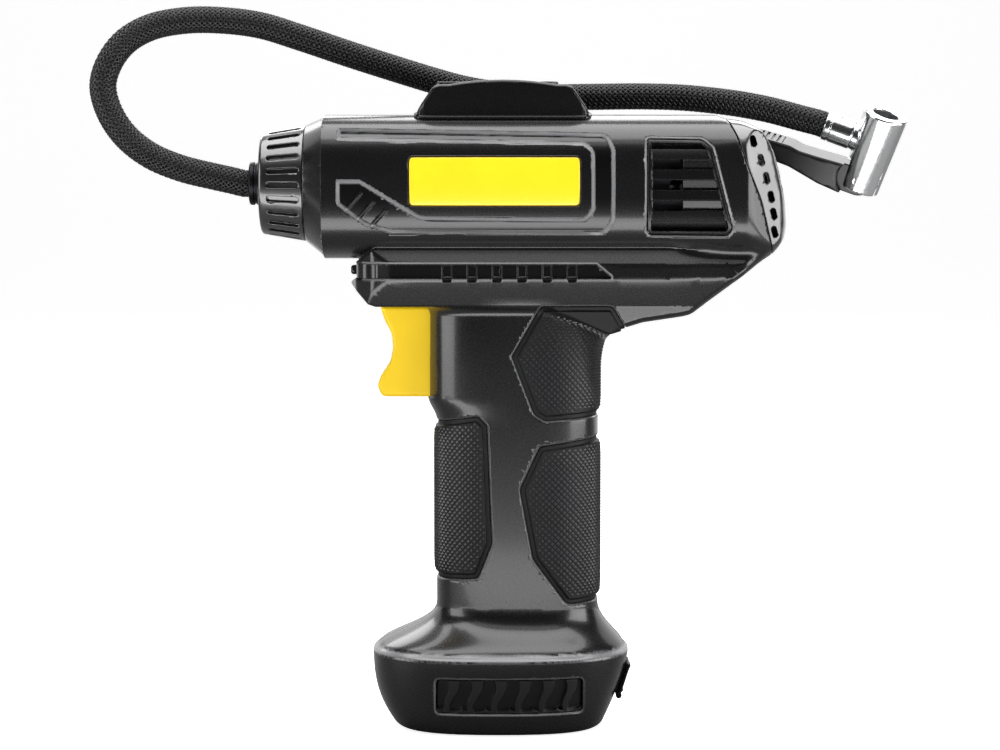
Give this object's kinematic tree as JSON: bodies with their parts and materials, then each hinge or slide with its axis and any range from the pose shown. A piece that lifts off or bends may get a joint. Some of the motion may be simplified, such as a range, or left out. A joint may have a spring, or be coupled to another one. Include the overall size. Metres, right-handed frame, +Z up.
{
  "type": "portable tire inflator",
  "caption": "Pistol-grip cordless tire inflator with a braided hose, a lever air chuck, a trigger, a top display with buttons and a geared piston pump inside.",
  "frame": {"origin": "centre of the base's underside, on the surface that it stands on", "axes": "+Z up along the grip, +X towards the tail of the barrel and -X towards the hose end, +Y to the inflator's right seen from behind; the housing splits at Y = 0"},
  "size_m": [0.25, 0.0677, 0.2179],
  "materials": {
    "shell": "satin moulded ABS and nylon",
    "yellow_panel": "gloss",
    "yellow_trigger": "satin",
    "black_trim": "satin",
    "rubber": "knurled rubber",
    "seals": "smooth rubber",
    "hose_braid": "black braid with bright flecks over a rubber bore",
    "chrome": "polished",
    "steel": "zinc plated",
    "lever_plastic": "satin",
    "window": "gloss smoked acrylic",
    "lcd": "gloss",
    "buttons": "soft silicone",
    "board": "solder resist",
    "lens": "smoked",
    "switch": "moulded nylon",
    "fan": "moulded",
    "black_steel": "black oxide",
    "gear": "glass filled nylon",
    "cast": "die cast, dark",
    "cells": null,
    "tabs": "nickel plated",
    "tube": "silicone"
  },
  "bodies": {
    "housing": {"housing_left": "shell", "housing_right": "shell", "side_panel_left": "yellow_panel", "side_panel_right": "yellow_panel", "vent_grille_left": "black_trim", "vent_grille_right": "black_trim", "rear_cap": "black_trim", "nose_collar": "black_trim", "hose_gland": "black_steel", "hose": "hose_braid", "hose_ferrule": "chrome", "chuck_body": "chrome", "chuck_seal": "seals", "lever_pin": "steel", "display_housing": "black_trim", "display_window": "window", "lcd_module": "lcd", "display_board": "board", "trigger_switch": "switch", "trigger_spring": "steel", "led_lens": "lens", "led_board": "board", "main_board": "board", "motor_can": "black_steel", "motor_end_cap": "switch", "pump_frame": "cast", "crank_axle": "steel", "cylinder": "cast", "cylinder_head": "cast", "air_tube": "tube", "battery_cells": "cells", "battery_holder": "switch", "cell_tabs": "tabs", "charge_board": "board", "charge_port": "tabs", "base_cover": "shell", "base_insert_left": "black_trim", "base_insert_right": "black_trim", "front_grip_pad": "rubber", "upper_grip_pad": "rubber", "lower_grip_pad": "rubber", "housing_screws": "steel", "base_screws": "steel", "pump_screws": "steel"},
    "rotor": {"rotor_shaft": "steel", "pinion": "black_steel", "cooling_fan": "fan"},
    "crank": {"crank_gear": "gear"},
    "piston": {"connecting_rod": "cast", "piston_seal": "seals"},
    "trigger": {"trigger": "yellow_trigger"},
    "mode_button": {"mode_button": "buttons"},
    "plus_button": {"plus_button": "buttons"},
    "minus_button": {"minus_button": "buttons"},
    "light_button": {"light_button": "buttons"},
    "chuck_lever": {"chuck_lever": "lever_plastic"},
    "charge_flap": {"charge_flap": "rubber"}
  },
  "joints": [
    {"name": "trigger_pull", "type": "slide", "parent": "housing", "child": "trigger", "axis": [1, 0, 0], "range_m": [0, 0.006], "stiffness_N_per_m": 900, "springref_m": -0.002, "deforming": ["trigger_spring"]},
    {"name": "mode_press", "type": "slide", "parent": "housing", "child": "mode_button", "axis": [0, 0, -1], "range_m": [0, 0.0006], "stiffness_N_per_m": 2000, "springref_m": -0.0004},
    {"name": "plus_press", "type": "slide", "parent": "housing", "child": "plus_button", "axis": [0, 0, -1], "range_m": [0, 0.0006], "stiffness_N_per_m": 2000, "springref_m": -0.0004},
    {"name": "minus_press", "type": "slide", "parent": "housing", "child": "minus_button", "axis": [0, 0, -1], "range_m": [0, 0.0006], "stiffness_N_per_m": 2000, "springref_m": -0.0004},
    {"name": "light_press", "type": "slide", "parent": "housing", "child": "light_button", "axis": [0, 0, -1], "range_m": [0, 0.0006], "stiffness_N_per_m": 2000, "springref_m": -0.0004},
    {"name": "lever_swing", "type": "hinge", "parent": "housing", "child": "chuck_lever", "pos_m": [0.11168, 0.02743, 0.16614], "axis": [-0.2669, -0.9224, -0.279], "range_deg": [0, 90]},
    {"name": "flap_swing", "type": "hinge", "parent": "housing", "child": "charge_flap", "pos_m": [0.03568, 0, 0.0092], "axis": [0, 1, 0], "range_deg": [0, 90]},
    {"name": "rotor_spin", "type": "hinge", "parent": "housing", "child": "rotor", "pos_m": [0.0535, 0.004, 0.163], "axis": [0, 1, 0], "continuous": true},
    {"name": "crank_spin", "type": "hinge", "parent": "housing", "child": "crank", "pos_m": [0.03595, -0.0175, 0.163], "axis": [0, 1, 0], "continuous": true},
    {"name": "piston_stroke", "type": "slide", "parent": "housing", "child": "piston", "axis": [1, 0, 0], "range_m": [0, 0.01]}
  ],
  "couplings": [
    {"joint": "crank_spin", "follows": "rotor_spin", "ratio": -0.22727}
  ]
}
